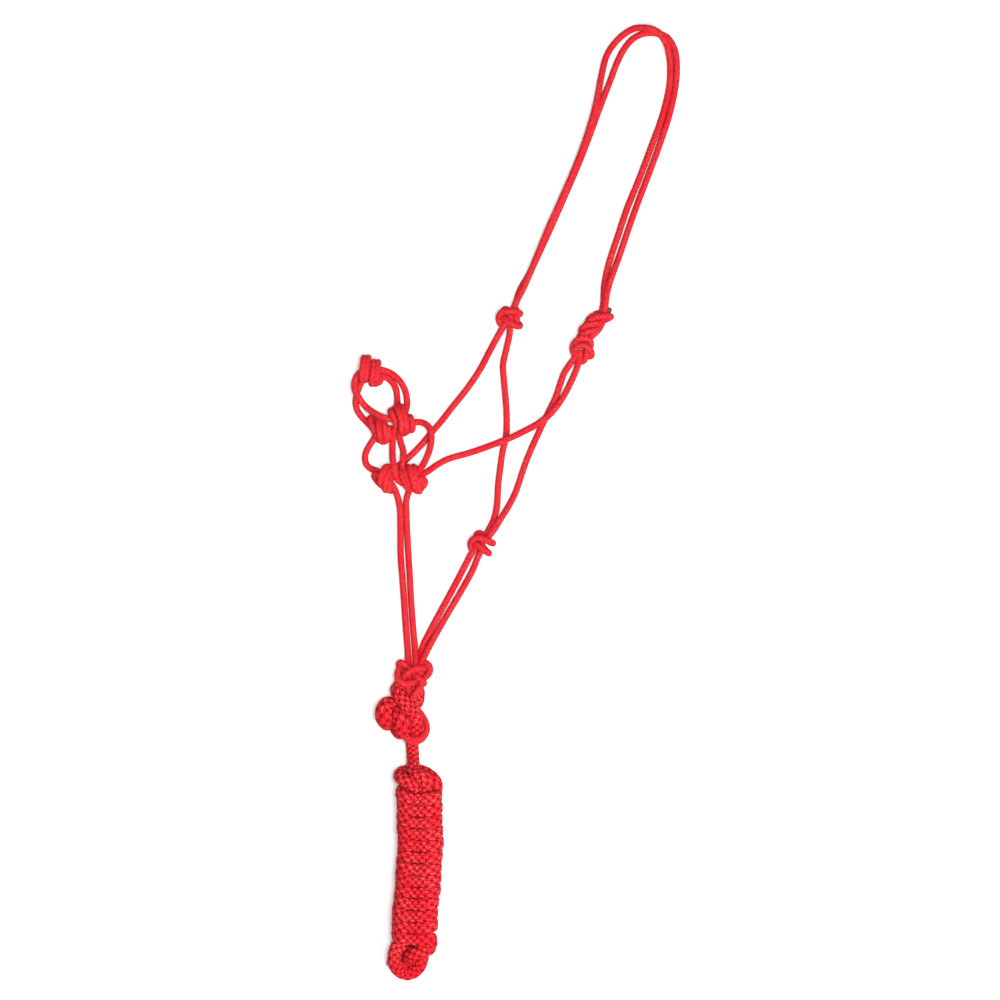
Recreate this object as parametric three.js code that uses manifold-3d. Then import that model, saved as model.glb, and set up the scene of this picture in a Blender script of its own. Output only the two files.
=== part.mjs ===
// Rope halter with its lead rope made up into a hank, lying flat on a surface.
// Millimetres, +Z up. The origin is on the surface, under the middle of the whole outline. +Y runs from
// the hank towards the poll end of the crown, and the noseband is on the -X side.
// The halter is one doubled cord and the lead is one rope. Each knot and each stretch between two knots
// is a solid of its own, and pieces that meet keep a small gap.
import * as THREE from 'three';
import { mergeVertices } from 'three/addons/utils/BufferGeometryUtils.js';
import Module from 'manifold-3d';

const wasm = await Module();
wasm.setup();

// ---- driving dimensions ----

const CORD = 6.4;            // diameter of the halter cord
const ROPE = 12;             // diameter of the lead rope
const GAP = 0.35;            // left between two pieces that meet
const MOST_STEPS = 80;       // along one stretch
const TURNING_GAP = 0.6;     // left between a knot and a stretch that turns about it
const TIE_TURNING_GAP = 4;   // the same at the tie, whose loops stand out
const TURNING_ENDS = 2;      // how much longer than the knot the room for turning is, at each end
const PIVOT_ROOM = 7;        // radius left clear round the pivot that the lead swings on
const KNOT_SEAT = 0.85;      // how far below its middle a knot is cut flat, as a share of its half height
const BALL_SIDES = 16;
const BALL_RINGS = 8;
const CORNER_STEPS = 6;      // along each rounded corner of the hank
const WELD = 1e-4;           // points closer than this are one point
const BEYOND = 1200;         // a cutting block's size, larger than the halter
const CORD_TUBE = { diameter: CORD, sides: 8, step: 2 * CORD };
const ROPE_TUBE = { diameter: ROPE, sides: 10, step: ROPE };

const RED_CORD = { color: 0xe8303a, roughness: 0.62, metalness: 0 };
const RED_ROPE = { color: 0xdd1f2b, roughness: 0.72, metalness: 0 };
const SEALED_END = { color: 0x2a1416, roughness: 0.45, metalness: 0 };

// Each knot: centre, half its length along `turn`, half its width across it, and its height.
// turn is the direction of its first half size, in degrees from +X.
const KNOTS = {
  left_cheek_knot: { at: [-5, 197], half: [14.3, 13.2], height: 20, turn: -4 },
  tie_hitch: { at: [86, 191], half: [19, 13.6], height: 21, turn: -4 },
  tie_loop_knot: { at: [71, 161.5], half: [13.2, 14.2], height: 20, turn: 0 },
  throat_knot: { at: [-34, -42], half: [14.8, 13.6], height: 20, turn: -15 },
  left_side_knot: { at: [-140, 25], half: [12, 15.2], height: 20, turn: 0 },
  right_side_knot: { at: [-107, 25], half: [14, 16.2], height: 20, turn: 0 },
  nose_knot_left: { at: [-146.5, 75.5], half: [11, 11.8], height: 21, turn: 24 },
  nose_knot_right: { at: [-119.5, 87.5], half: [13, 17], height: 22, turn: 24 },
  nose_knot_centre: { at: [-152, 140], half: [12.2, 17], height: 22, turn: 0 },
  fiador_knot: { at: [-107, -180], half: [20, 14.6], height: 22, turn: 0 },
};

// Routes of the cord's stretches, [x, y, height of the centre line]. A point with no height lies on the
// surface. Both ends run into their knots, which trim them.
const ROUTES = {
  crown_strand_a: [
    [-2, 201, 10], [2.4, 214.2, 10], [8.6, 226.4, 10], [16.4, 243.6, 10], [35, 289, 10],
    [50.4, 323.6, 10], [66, 359.8, 10], [76.8, 389.2, 10], [83.6, 411.8, 9.6],
    [88.6, 434, 7.4], [92, 453, 4.6], [98, 475.6], [106.8, 489.2],
    [117.4, 499, 3.4], [127, 504, 4.4], [136, 504.6, 6.4], [144, 503, 9.6],
    [152.4, 499, 10.4], [158, 492.2, 10.2], [161.8, 485, 8.8], [164.4, 474, 4.6], [165.4, 462],
    [164.4, 443], [157, 411.4], [143.8, 375], [131.4, 342.2], [119.6, 313.4], [110, 284.8],
    [102.2, 261.6], [97.6, 244.8], [95, 229], [94.2, 212, 3.6], [91, 198, 6]],
  crown_strand_b: [
    [-4, 199, 5], [1.6, 214.2], [5.8, 226.4], [15.6, 243.6], [36.8, 288.8], [52.2, 323.6],
    [67.8, 360], [78.6, 387.4], [87.6, 412], [95.8, 433.8], [101.6, 448.6], [109, 468],
    [116.4, 482.4], [126, 493.4], [137.8, 498.8], [150.2, 499],
    [162.4, 494.4], [170.2, 481.2], [172.4, 463], [171, 443], [164.2, 411.8],
    [152.2, 375.6], [140.6, 344.4], [130, 316.6], [120.4, 289.6], [114.4, 271.6, 3.4], [108.6, 255.4, 5.4],
    [102.8, 239.6, 8.6], [98.6, 226, 10.2], [96.4, 212, 10.6], [95, 197, 10.6]],
  left_cheekpiece: [
    [-8, 194, 8], [-14, 184, 4.6], [-24, 166], [-37, 141.4], [-50.8, 121.2], [-66.8, 101.2], [-77.8, 87],
    [-88, 75.2], [-100, 61], [-111.4, 49.6], [-121, 41.5], [-129, 35, 4.6], [-137, 28, 9]],
  left_throatlatch: [
    [-5, 192, 8], [-5, 181, 4.4], [-8, 166], [-12, 148], [-11, 129], [-9, 107], [-8.2, 86],
    [-9.4, 68], [-12.4, 56], [-15, 38], [-17.2, 20], [-18.4, 0], [-21.4, -15.4], [-27, -27.4, 4.4],
    [-33, -38, 8]],
  right_throatlatch: [
    [67, 158, 8], [59, 148, 4.4], [52.6, 138.2], [48.2, 126.2], [43.4, 112], [36.6, 98], [30.6, 85.6],
    [25.4, 74.4], [19.4, 61.4], [13.2, 46.6], [8.2, 32.6], [1.4, 12.4], [-6.6, -3.6, 4.4], [-14.8, -16.6, 8],
    [-23, -29.6, 10.4], [-32, -40, 10]],
  right_cheekpiece: [
    [69.4, 161, 10], [68.6, 152, 8], [65, 140.4, 4.4], [59.8, 128.6, 3.8], [52.6, 114.6, 5.2],
    [44.4, 102.4, 7.8], [35.4, 92.4, 10], [25.6, 85.2, 10.2], [14.2, 78.6, 7.4], [2.6, 72.8, 8],
    [-7.6, 68.2, 10.2], [-18, 64.2, 8.6], [-32, 59], [-50, 53], [-69.8, 47.4], [-82, 41],
    [-92, 34, 4.6], [-102, 28, 9]],
  nose_side_left: [
    [-146, 74, 9], [-150, 67, 5.6], [-154.4, 60.6], [-157.8, 53.8], [-158.6, 47], [-157.4, 41.8],
    [-154.4, 38.2], [-150, 36, 4], [-145.4, 34.4, 6.6], [-140.6, 29.6, 9]],
  nose_middle_a: [
    [-122, 86, 10], [-127.2, 78, 8.4], [-129.2, 68.6, 5.4], [-129.6, 57, 5.4], [-129, 46.5, 9.6],
    [-127.4, 38.4, 11.8], [-125.8, 31, 11.8], [-123.4, 24.4, 11], [-116, 20.6, 9]],
  nose_middle_b: [
    [-119, 84, 10], [-122, 74, 8], [-120.8, 65.4, 5], [-118, 56, 6.4], [-117.9, 48, 9.6],
    [-118.4, 40, 10.8], [-115.4, 32, 10], [-108, 27, 9]],
  nose_side_right: [
    [-116, 87, 9], [-108, 86.2, 6], [-99, 85.9, 5], [-92.2, 82.6, 8], [-88.6, 76, 10.4],
    [-88, 67.5, 9.6], [-90, 57, 6], [-94.2, 46.5, 5.6], [-99.4, 37.5, 8], [-105, 30, 10.5]],
  nose_ring_low: [
    [-154, 136, 7], [-160, 131.6, 4.4], [-164.2, 124.8], [-167, 117], [-168.6, 108], [-166.8, 99],
    [-161.6, 91], [-155, 84.6, 5], [-149, 78, 8.6]],
  nose_ring_left: [
    [-155, 141, 10], [-161, 140, 9.6], [-166.2, 136.2, 9.6], [-169.4, 129, 10], [-169, 120.4, 10.4],
    [-164.8, 112.2, 10], [-159, 104, 7.4], [-152, 98, 8.6], [-144.2, 93.4, 10.6], [-134.6, 90, 11],
    [-125, 88.8, 11]],
  nose_ring_outer: [
    [-150, 140.6, 9], [-142, 141.6, 6.4], [-134.6, 139.8, 3.6], [-126.9, 135.2], [-120.2, 128],
    [-115.8, 119.2], [-114, 110.6], [-114, 104, 4.4], [-115.6, 97.5, 7.6], [-118, 91, 9.6]],
  nose_ring_inner: [
    [-150, 136, 9], [-142, 135, 6.4], [-135.4, 133.2], [-129.6, 128.4], [-125.9, 121.4], [-124.6, 114],
    [-124.4, 106, 5], [-123.6, 98, 8.6], [-121.5, 90.5, 10]],
  chin_strand_left: [
    [-134, 25, 9], [-127.4, 16, 6], [-123.8, 6], [-121.4, -7], [-121, -27], [-120.8, -55],
    [-118.8, -81], [-116.8, -109], [-115, -135], [-113.4, -155, 4.6], [-112.6, -170, 8.4],
    [-111, -178, 10]],
  chin_strand_right: [
    [-109, 21, 9], [-112.2, 12, 6], [-114.8, 3], [-114.8, -8], [-114, -27], [-112.8, -50],
    [-111.2, -75], [-109.8, -101], [-107.8, -129], [-105.8, -152, 5], [-105, -168, 10],
    [-105, -178, 11]],
  jaw_strand_left: [
    [-37, -43, 9], [-45, -52, 5], [-52, -65], [-65.6, -91.2], [-78.4, -114.6], [-90, -136.4],
    [-97.8, -153], [-100.4, -167, 3.8], [-103, -176, 6]],
  jaw_strand_right: [
    [-33, -45, 9], [-38.5, -56.5, 5], [-45, -72], [-59.5, -98], [-72, -119], [-83.4, -139, 4.6],
    [-92, -155, 8.2], [-98, -167, 10.2], [-102, -176, 10]],
};

// The line that the chin and jaw stretches fold on, and the pivot that the lead swings on.
const JAW_FOLD = { at: [-118, -3], towards: [-43, -54.5] };
const LEAD_PIVOT = [-109, -250];

// The lead rope: loop of halter cord, knot, neck, hank.
const LEAD_LOOP = [
  [-110.6, -187, 9], [-111.8, -197, 9], [-109.4, -206, 7], [-104, -217, 3.8], [-97.4, -226, 4.8],
  [-93.4, -234, 9], [-93.6, -242, 14], [-98.4, -248.2, 17], [-105.6, -250.6, 17.4],
  [-112.6, -248.6, 16.2], [-117.6, -243, 14]];
const LEAD_KNOT_LOBES = [
  { at: [-130, -224], half: [18.5, 19.5], height: 27, turn: 0 },
  { at: [-121, -234], half: [11, 15.5], height: 27, turn: 0 },
  { at: [-114, -210], half: [21, 12.5], height: 24, turn: -38 },
];
const NECK = [
  [-109, -250, 6.4], [-108.3, -258, 6.6], [-107.7, -268, 10], [-107.1, -277, 17.5], [-106.5, -283.5, 23]];
const HITCH = { at: [-102.5, -291], half: [25, 14], height: 32, turn: -5 };
const HANK = { top: [-101, -305.5], bottom: [-107, -468], width: 47, thickness: 36, corner: 16.5 };
const EYE = [
  [-100.4, -455, 17], [-99, -465, 12.4], [-97.8, -474, 8], [-98, -483.3, 6.8], [-100, -489.6, 6.8],
  [-105.4, -495.6, 6.8], [-113, -498.6, 7], [-120.6, -496, 9], [-125.8, -489.4, 14],
  [-127.4, -480, 17], [-125.2, -470.6, 17.4], [-118.8, -462, 18]];
const LEAD_END = { from: [-133.4, -485.4], to: [-139.4, -488.6], height: 9 };
const CROWN_ENDS = {
  crown_end_a: { from: [95, 197], to: [104.5, 205], height: 5.2 },
  crown_end_b: { from: [84, 197], to: [82.5, 208.5], height: 5.2 },
};

// ---- solids ----

function solidOf(geometry) {
  const bare = geometry.clone();
  bare.deleteAttribute('normal');
  bare.deleteAttribute('uv');
  const merged = mergeVertices(bare, WELD);
  return new wasm.Manifold(new wasm.Mesh({
    numProp: 3,
    vertProperties: new Float32Array(merged.attributes.position.array),
    triVerts: new Uint32Array(merged.index.array),
  }));
}

function geometryOf(solid) {
  const { vertProperties, triVerts } = solid.getMesh();
  const geometry = new THREE.BufferGeometry();
  geometry.setAttribute('position', new THREE.BufferAttribute(new Float32Array(vertProperties), 3));
  geometry.setIndex(new THREE.BufferAttribute(new Uint32Array(triVerts), 1));
  geometry.computeVertexNormals();
  return geometry;
}

// A cut can leave a sliver on the far side of a knot, so only the largest body is kept.
function largest(solid) {
  return solid.decompose().reduce((a, b) => (a.volume() > b.volume() ? a : b));
}

function without(solid, ...cutters) {
  return largest(cutters.reduce((rest, cutter) => rest.subtract(cutter), solid));
}

// ---- cords and ropes ----

// A smooth curve through hand-chosen places that never dips under the height of a cord at rest.
class Route extends THREE.CatmullRomCurve3 {
  constructor(points, lowest) {
    const places = points.map(([x, y, z = lowest]) => new THREE.Vector3(x, y, z));
    super(places, false, 'centripetal');
    this.lowest = lowest;
  }

  getPoint(t, target) {
    const point = super.getPoint(t, target);
    point.z = Math.max(point.z, this.lowest);
    return point;
  }
}

function regularSection(diameter, sides) {
  const corners = Array.from({ length: sides }, (_, i) => {
    const angle = ((i + 0.5) / sides) * 2 * Math.PI;
    return new THREE.Vector2(Math.cos(angle), Math.sin(angle)).multiplyScalar(diameter / 2);
  });
  return new THREE.Shape(corners);
}

// A tube along a route. `extra` grows it all round without moving its centre line.
function tube(points, { diameter, sides, step }, extra = 0) {
  const path = new Route(points, diameter / 2);
  const steps = Math.min(MOST_STEPS, Math.ceil(path.getLength() / step));
  const section = regularSection(diameter + 2 * extra, sides);
  return solidOf(new THREE.ExtrudeGeometry(section, { steps, extrudePath: path, bevelEnabled: false }));
}

const cord = (points, extra) => tube(points, CORD_TUBE, extra);
const rope = (points, extra) => tube(points, ROPE_TUBE, extra);

// ---- knots ----

function ellipsoid([x, y, z], [halfX, halfY, halfZ], turn) {
  const ball = new THREE.SphereGeometry(1, BALL_SIDES, BALL_RINGS).rotateX(Math.PI / 2);
  ball.scale(halfX, halfY, halfZ);
  ball.rotateZ(THREE.MathUtils.degToRad(turn));
  ball.translate(x, y, z);
  return ball;
}

// A knot is a pebble: an ellipsoid that rests on a flat spot.
function pebble({ at, half, height, turn }, extra = 0) {
  const halfHeight = height / (1 + KNOT_SEAT);
  const sizes = [half[0] + extra, half[1] + extra, halfHeight + extra];
  const ball = ellipsoid([...at, KNOT_SEAT * halfHeight], sizes, turn);
  const positions = ball.attributes.position;
  for (let i = 0; i < positions.count; i += 1) {
    positions.setZ(i, Math.max(positions.getZ(i), -extra));
  }
  return solidOf(ball);
}

// Room for a stretch to turn about a knot: the knot's outline spun round its own long direction.
function turningRoom({ at, half, height, turn }, gap = TURNING_GAP) {
  const reach = Math.max(half[1], height / 2) + gap;
  return solidOf(ellipsoid([...at, height / 2], [half[0] + TURNING_ENDS, reach, reach], turn));
}

// A block that fills everything on one side of a fold line, or on the other with side -1.
function beyondFold({ at, towards }, side, margin) {
  const along = new THREE.Vector2(towards[0] - at[0], towards[1] - at[1]).normalize();
  const across = new THREE.Vector2(-along.y, along.x).multiplyScalar(side);
  const block = new THREE.BoxGeometry(BEYOND, BEYOND, BEYOND);
  block.rotateZ(Math.atan2(along.y, along.x));
  const centre = new THREE.Vector2(...at).addScaledVector(across, BEYOND / 2 + margin);
  block.translate(centre.x, centre.y, 0);
  return solidOf(block);
}

// ---- the assembly ----

const halter = new THREE.Group();

function add(name, solid, finish) {
  const mesh = new THREE.Mesh(geometryOf(solid), new THREE.MeshStandardMaterial(finish));
  mesh.name = name;
  halter.add(mesh);
}

const grown = Object.fromEntries(Object.entries(KNOTS).map(([name, knot]) => [name, pebble(knot, GAP)]));
const turning = Object.fromEntries(Object.entries(KNOTS).map(([name, knot]) => [name, turningRoom(knot)]));

function addCheekStretches() {
  const fixedEnds = {
    left_cheekpiece: ['left_cheek_knot', 'left_side_knot', 'right_side_knot'],
    left_throatlatch: ['left_cheek_knot', 'throat_knot'],
    right_throatlatch: ['tie_loop_knot', 'throat_knot'],
    right_cheekpiece: ['tie_loop_knot', 'right_side_knot'],
  };
  for (const [name, knots] of Object.entries(fixedEnds)) {
    add(name, without(cord(ROUTES[name]), ...knots.map((knot) => grown[knot])), RED_CORD);
  }
}

// The crown turns about the two knots at its ends.
function addCrown() {
  const tieRoom = turningRoom(KNOTS.tie_hitch, TIE_TURNING_GAP);
  for (const name of ['crown_strand_a', 'crown_strand_b']) {
    add(name, without(cord(ROUTES[name]), turning.left_cheek_knot, tieRoom), RED_CORD);
  }
}

// Each noseband stretch ends in a knot that moves with it and one that it turns about.
function addNoseband() {
  const noseSides = {
    nose_side_left: ['nose_knot_left', 'left_side_knot'],
    nose_middle_a: ['nose_knot_right', 'right_side_knot'],
    nose_middle_b: ['nose_knot_right', 'right_side_knot'],
    nose_side_right: ['nose_knot_right', 'right_side_knot'],
  };
  for (const [name, [own, pivot]] of Object.entries(noseSides)) {
    add(name, without(cord(ROUTES[name]), grown[own], turning[pivot], turning.left_side_knot), RED_CORD);
  }
  const noseRing = {
    nose_ring_low: 'nose_knot_left',
    nose_ring_left: 'nose_knot_right',
    nose_ring_outer: 'nose_knot_right',
    nose_ring_inner: 'nose_knot_right',
  };
  for (const [name, pivot] of Object.entries(noseRing)) {
    add(name, without(cord(ROUTES[name]), grown.nose_knot_centre, turning[pivot]), RED_CORD);
  }
}

// The chin and jaw stretches start at the fold line under the side knots and the throat knot.
function addChinAndJaw() {
  const aboveFold = beyondFold(JAW_FOLD, 1, -GAP);
  for (const name of ['chin_strand_left', 'chin_strand_right', 'jaw_strand_left', 'jaw_strand_right']) {
    add(name, without(cord(ROUTES[name]), aboveFold, grown.fiador_knot), RED_CORD);
  }
}

function addKnots() {
  const belowFold = beyondFold(JAW_FOLD, -1, 0);
  // A side knot keeps the short root of its chin stretch, down to the fold line.
  const roots = { left_side_knot: 'chin_strand_left', right_side_knot: 'chin_strand_right' };
  for (const [name, knot] of Object.entries(KNOTS)) {
    let solid = pebble(knot);
    if (roots[name]) solid = solid.add(without(cord(ROUTES[roots[name]]), belowFold));
    if (name === 'tie_hitch') solid = without(solid, grown.tie_loop_knot);
    add(name, largest(solid), RED_CORD);
  }
}

function addCrownEnds() {
  for (const [name, { from, to, height }] of Object.entries(CROWN_ENDS)) {
    const stub = cord([[...from, height], [...to, height]]);
    add(name, without(stub, grown.tie_hitch), SEALED_END);
  }
}

function addLead() {
  const loop = cord(LEAD_LOOP);
  const column = wasm.Manifold.cylinder(BEYOND, PIVOT_ROOM, PIVOT_ROOM, BALL_SIDES);
  const pivotRoom = column.translate(...LEAD_PIVOT, 0);
  const lobes = LEAD_KNOT_LOBES.map((lobe) => pebble(lobe)).reduce((a, b) => a.add(b));
  const loopEnd = new THREE.SphereGeometry(CORD / 2 + 2 * GAP, BALL_SIDES, BALL_RINGS);
  loopEnd.translate(...LEAD_LOOP.at(-1));
  const loopRoom = cord(LEAD_LOOP, GAP).add(solidOf(loopEnd));
  add('lead_loop', without(loop, grown.fiador_knot), RED_CORD);
  add('lead_knot', without(lobes, loopRoom, grown.fiador_knot, pivotRoom), RED_ROPE);
  add('lead_neck', without(rope(NECK), pebble(HITCH, GAP), loopRoom), RED_ROPE);
  add('hank_hitch', pebble(HITCH), RED_ROPE);
  add('hank_wraps', solidOf(hankBody()), RED_ROPE);
  add('hank_eye', without(rope(EYE), solidOf(hankBody(GAP))), RED_ROPE);
  const end = rope([[...LEAD_END.from, LEAD_END.height], [...LEAD_END.to, LEAD_END.height]]);
  add('lead_end', without(end, rope(EYE, GAP)), RED_ROPE);
}

// The wrapped body of the hank: a flat-bottomed rounded bar, a little askew.
function hankBody(extra = 0) {
  const { top, bottom, width, thickness, corner } = HANK;
  const w = width / 2 + extra;
  const h = thickness / 2 + extra;
  const outline = new THREE.Shape();
  outline.moveTo(-w + corner, -h);
  outline.lineTo(w - corner, -h);
  outline.absarc(w - corner, -h + corner, corner, -Math.PI / 2, 0);
  outline.absarc(w - corner, h - corner, corner, 0, Math.PI / 2);
  outline.absarc(-w + corner, h - corner, corner, Math.PI / 2, Math.PI);
  outline.absarc(-w + corner, -h + corner, corner, Math.PI, 1.5 * Math.PI);
  const run = new THREE.Vector2(bottom[0] - top[0], bottom[1] - top[1]);
  const depth = run.length() + 2 * extra;
  const settings = { depth, bevelEnabled: false, curveSegments: CORNER_STEPS };
  const body = new THREE.ExtrudeGeometry(outline, settings);
  body.rotateX(Math.PI / 2);
  body.translate(0, extra, thickness / 2);
  body.rotateZ(run.angle() + Math.PI / 2);
  body.translate(top[0], top[1], 0);
  return body;
}

addKnots();
addCheekStretches();
addCrown();
addNoseband();
addChinAndJaw();
addCrownEnds();
addLead();

export default halter;
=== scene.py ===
import math

import bmesh
import bpy
import numpy as np
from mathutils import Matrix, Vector


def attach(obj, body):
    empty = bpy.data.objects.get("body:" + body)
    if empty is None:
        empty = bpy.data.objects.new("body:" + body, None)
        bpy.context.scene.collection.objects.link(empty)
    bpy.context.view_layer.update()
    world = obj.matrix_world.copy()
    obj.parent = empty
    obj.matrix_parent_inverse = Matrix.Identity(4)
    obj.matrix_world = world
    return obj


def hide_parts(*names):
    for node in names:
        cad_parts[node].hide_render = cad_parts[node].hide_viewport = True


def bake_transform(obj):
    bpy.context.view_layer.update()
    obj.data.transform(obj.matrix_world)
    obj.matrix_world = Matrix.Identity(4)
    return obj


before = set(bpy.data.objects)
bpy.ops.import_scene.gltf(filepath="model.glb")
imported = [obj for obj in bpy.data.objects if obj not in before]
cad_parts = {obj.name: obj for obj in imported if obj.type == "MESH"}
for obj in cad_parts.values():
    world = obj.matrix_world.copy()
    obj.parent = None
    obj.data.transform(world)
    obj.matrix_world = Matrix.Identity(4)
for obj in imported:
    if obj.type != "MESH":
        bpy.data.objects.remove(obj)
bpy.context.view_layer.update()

# A rope halter lying flat, with its lead rope made up into a hank. +Y runs towards the poll end of the crown
# and Z is up. The tables of route points are in millimetres, and MM turns them into Blender's metres. A point
# is x, y and the height of the cord's middle, which is left out where the cord lies on the surface.
MM = 0.001
CORD = 6.4          # diameter of the halter cord
ROPE = 12.0         # diameter of the lead rope


# ---------------------------------------------------------------- camera

FRAME_WIDTH = 1.06      # metres of surface across the picture
LENS = 100.0
SENSOR = 36.0
AIM = (-0.0154, 0.0037)     # the place on the surface that the camera is above, in metres
LOOK_HEIGHT = 0.008         # the height that is at the scale of FRAME_WIDTH
FARTHEST = 50.0             # metres that the camera sees


def make_camera():
    data = bpy.data.cameras.new("camera")
    data.lens = LENS
    data.sensor_width = SENSOR
    data.clip_end = FARTHEST
    camera = bpy.data.objects.new("camera", data)
    camera.location = (AIM[0], AIM[1], LOOK_HEIGHT + FRAME_WIDTH * LENS / SENSOR)
    bpy.context.scene.collection.objects.link(camera)
    bpy.context.scene.camera = camera


make_camera()


# ---------------------------------------------------------------- materials

CORD_UV = "cord"        # the uv layer of a cord: the share of the way round it, and metres along it


class Nodes:
    """A short way to wire a material's nodes."""

    def __init__(self, name):
        self.material = bpy.data.materials.new(name)
        self.material.use_nodes = True
        self.tree = self.material.node_tree
        self.shader = self.tree.nodes["Principled BSDF"]

    def plug(self, value, socket):
        if isinstance(value, bpy.types.NodeSocket):
            self.tree.links.new(value, socket)
        else:
            socket.default_value = value

    def math(self, operation, *values):
        node = self.tree.nodes.new("ShaderNodeMath")
        node.operation = operation
        for value, socket in zip(values, node.inputs):
            self.plug(value, socket)
        return node.outputs[0]

    def mix(self, factor, a, b):
        node = self.tree.nodes.new("ShaderNodeMix")
        node.data_type = "RGBA"
        self.plug(factor, node.inputs["Factor"])
        self.plug(a, node.inputs["A"])
        self.plug(b, node.inputs["B"])
        return node.outputs["Result"]

    def ramp(self, value, low, high, to_low=0.0, to_high=1.0):
        """A smooth step from to_low, where the value is low, up or down to to_high, where it is high."""
        node = self.tree.nodes.new("ShaderNodeMapRange")
        node.interpolation_type = "SMOOTHSTEP"
        limits = {"From Min": low, "From Max": high, "To Min": to_low, "To Max": to_high}
        self.plug(value, node.inputs["Value"])
        for name, limit in limits.items():
            self.plug(limit, node.inputs[name])
        return node.outputs[0]

    def noise(self, scale, detail, vector=None):
        """Noise at the object's own coordinates, or at another vector. Scale is in repeats to the metre."""
        node = self.tree.nodes.new("ShaderNodeTexNoise")
        node.inputs["Scale"].default_value = scale
        node.inputs["Detail"].default_value = detail
        if vector is None:
            vector = self.tree.nodes.new("ShaderNodeTexCoord").outputs["Object"]
        self.tree.links.new(vector, node.inputs["Vector"])
        return node.outputs["Fac"]

    def along(self):
        """The position on a cord: how far round it, from 0 to 1, and how far along it, in metres."""
        node = self.tree.nodes.new("ShaderNodeUVMap")
        node.uv_map = CORD_UV
        split = self.tree.nodes.new("ShaderNodeSeparateXYZ")
        self.tree.links.new(node.outputs[0], split.inputs[0])
        return split.outputs[0], split.outputs[1]

    def join(self, x, y):
        node = self.tree.nodes.new("ShaderNodeCombineXYZ")
        self.plug(x, node.inputs[0])
        self.plug(y, node.inputs[1])
        return node.outputs[0]

    def bump(self, height, distance):
        node = self.tree.nodes.new("ShaderNodeBump")
        node.inputs["Distance"].default_value = distance
        self.tree.links.new(height, node.inputs["Height"])
        self.tree.links.new(node.outputs[0], self.shader.inputs["Normal"])


PATCH_SCALE = 28.0          # mottled patches
FLECK_SCALE = 900.0         # crests of single yarns, pale with wear and a painted highlight
MOTTLING = (0.93, 0.7, 0.75)    # the darker patches, as shares of the base colour
FLECK_BUMP = 0.3            # relief of the flecks, as a share of the weave's


def yarn_finish(nodes, colours, shade, height, roughness, bump_depth):
    """What the two cords share: painted shade in the grooves, mottling, pale wear with a painted highlight on
    the crests, sheen.
    """
    base, dark, pale = colours
    mottled = (*(value * share for value, share in zip(base, MOTTLING)), 1)
    patches = nodes.noise(PATCH_SCALE, 3.0)
    flecks = nodes.noise(FLECK_SCALE, 2.0)
    wear_and_highlight_flecks = nodes.ramp(flecks, 0.46, 0.66, 0.0, 0.6)
    wear_and_highlight_patches = nodes.ramp(patches, 0.25, 0.6, 0.2, 1.0)
    wear_and_highlight = nodes.math("MULTIPLY", wear_and_highlight_flecks, wear_and_highlight_patches)
    tone = nodes.mix(nodes.ramp(patches, 0.35, 0.68), base, mottled)
    # The crests turn pale in flecks: partly wear, partly a painted highlight.
    tone = nodes.mix(nodes.math("MULTIPLY", wear_and_highlight, height), tone, pale)
    # Painted shade: the colour darkens in the grooves, seams and pits.
    tone = nodes.mix(shade, tone, dark)
    nodes.plug(tone, nodes.shader.inputs["Base Color"])
    rough = nodes.ramp(flecks, 0.3, 0.7, roughness - 0.06, roughness + 0.08)
    nodes.plug(rough, nodes.shader.inputs["Roughness"])
    nodes.shader.inputs["Sheen Weight"].default_value = 0.02
    nodes.shader.inputs["Sheen Roughness"].default_value = 0.45
    nodes.shader.inputs["Sheen Tint"].default_value = (1.0, 0.3, 0.3, 1.0)
    nodes.shader.inputs["Specular IOR Level"].default_value = 0.04
    nodes.bump(nodes.math("ADD", height, nodes.math("MULTIPLY", flecks, FLECK_BUMP)), bump_depth)
    return nodes.material


HALTER_PICK = 1.68 * MM     # length of one repeat of the halter cord's braid
HALTER_COLUMNS = 12         # repeats round it
HALTER_GROOVE_SHADE = 0.34        # how dark the painted shade in the grooves between its yarns is
# A cord's colours: its own, its painted shade in the grooves, and its pale wear with a painted highlight on
# the crests.
HALTER_COLOURS = ((0.53, 0.009, 0.019, 1), (0.2, 0.0, 0.002, 1), (0.8, 0.15, 0.15, 1))


def halter_material():
    """A fine diamond braid: two sets of grooves that run round the cord in opposite directions."""
    nodes = Nodes("halter_braid")
    around, along = nodes.along()
    a = nodes.math("MULTIPLY", around, float(HALTER_COLUMNS))
    b = nodes.math("DIVIDE", along, HALTER_PICK)
    grooves = []
    for operation in ("ADD", "SUBTRACT"):
        lane = nodes.math("FRACT", nodes.math("ADD", nodes.math(operation, a, b), 0.5))
        off = nodes.math("ABSOLUTE", nodes.math("SUBTRACT", lane, 0.5))
        grooves.append(nodes.ramp(off, 0.28, 0.5))
    groove = nodes.math("MAXIMUM", *grooves)
    height = nodes.math("SUBTRACT", 1.0, groove)
    # Painted shade: the grooves darken the cord's colour.
    shade = nodes.math("MULTIPLY", groove, HALTER_GROOVE_SHADE)
    return yarn_finish(nodes, HALTER_COLOURS, shade, height, roughness=0.56, bump_depth=0.12 * MM)


WALES = 10                  # columns of stitches round the lead rope
STITCH = 7.2 * MM           # length of one stitch
STITCH_SLANT = 0.2          # how far its ends slope, in stitches
STITCH_SEAM_SHADE = 0.4           # how dark the painted shade in the seams between columns is, where a pit's is 1
STITCH_SHADE = 0.95         # the darkest that the painted shade of a pit gets
FIBRES_ROUND = 260.0        # noise repeats round the rope, for its single fibres
FIBRES_ALONG = 500.0        # and to the metre along it
FIBRE_BUMP = 0.25           # relief of the fibres, as a share of the stitches'
# Its colours: its own, its painted shade in the pits and seams, and its pale wear with a painted highlight.
LEAD_COLOURS = ((0.53, 0.004, 0.014, 1), (0.2, 0.0, 0.003, 1), (0.82, 0.17, 0.17, 1))


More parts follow.
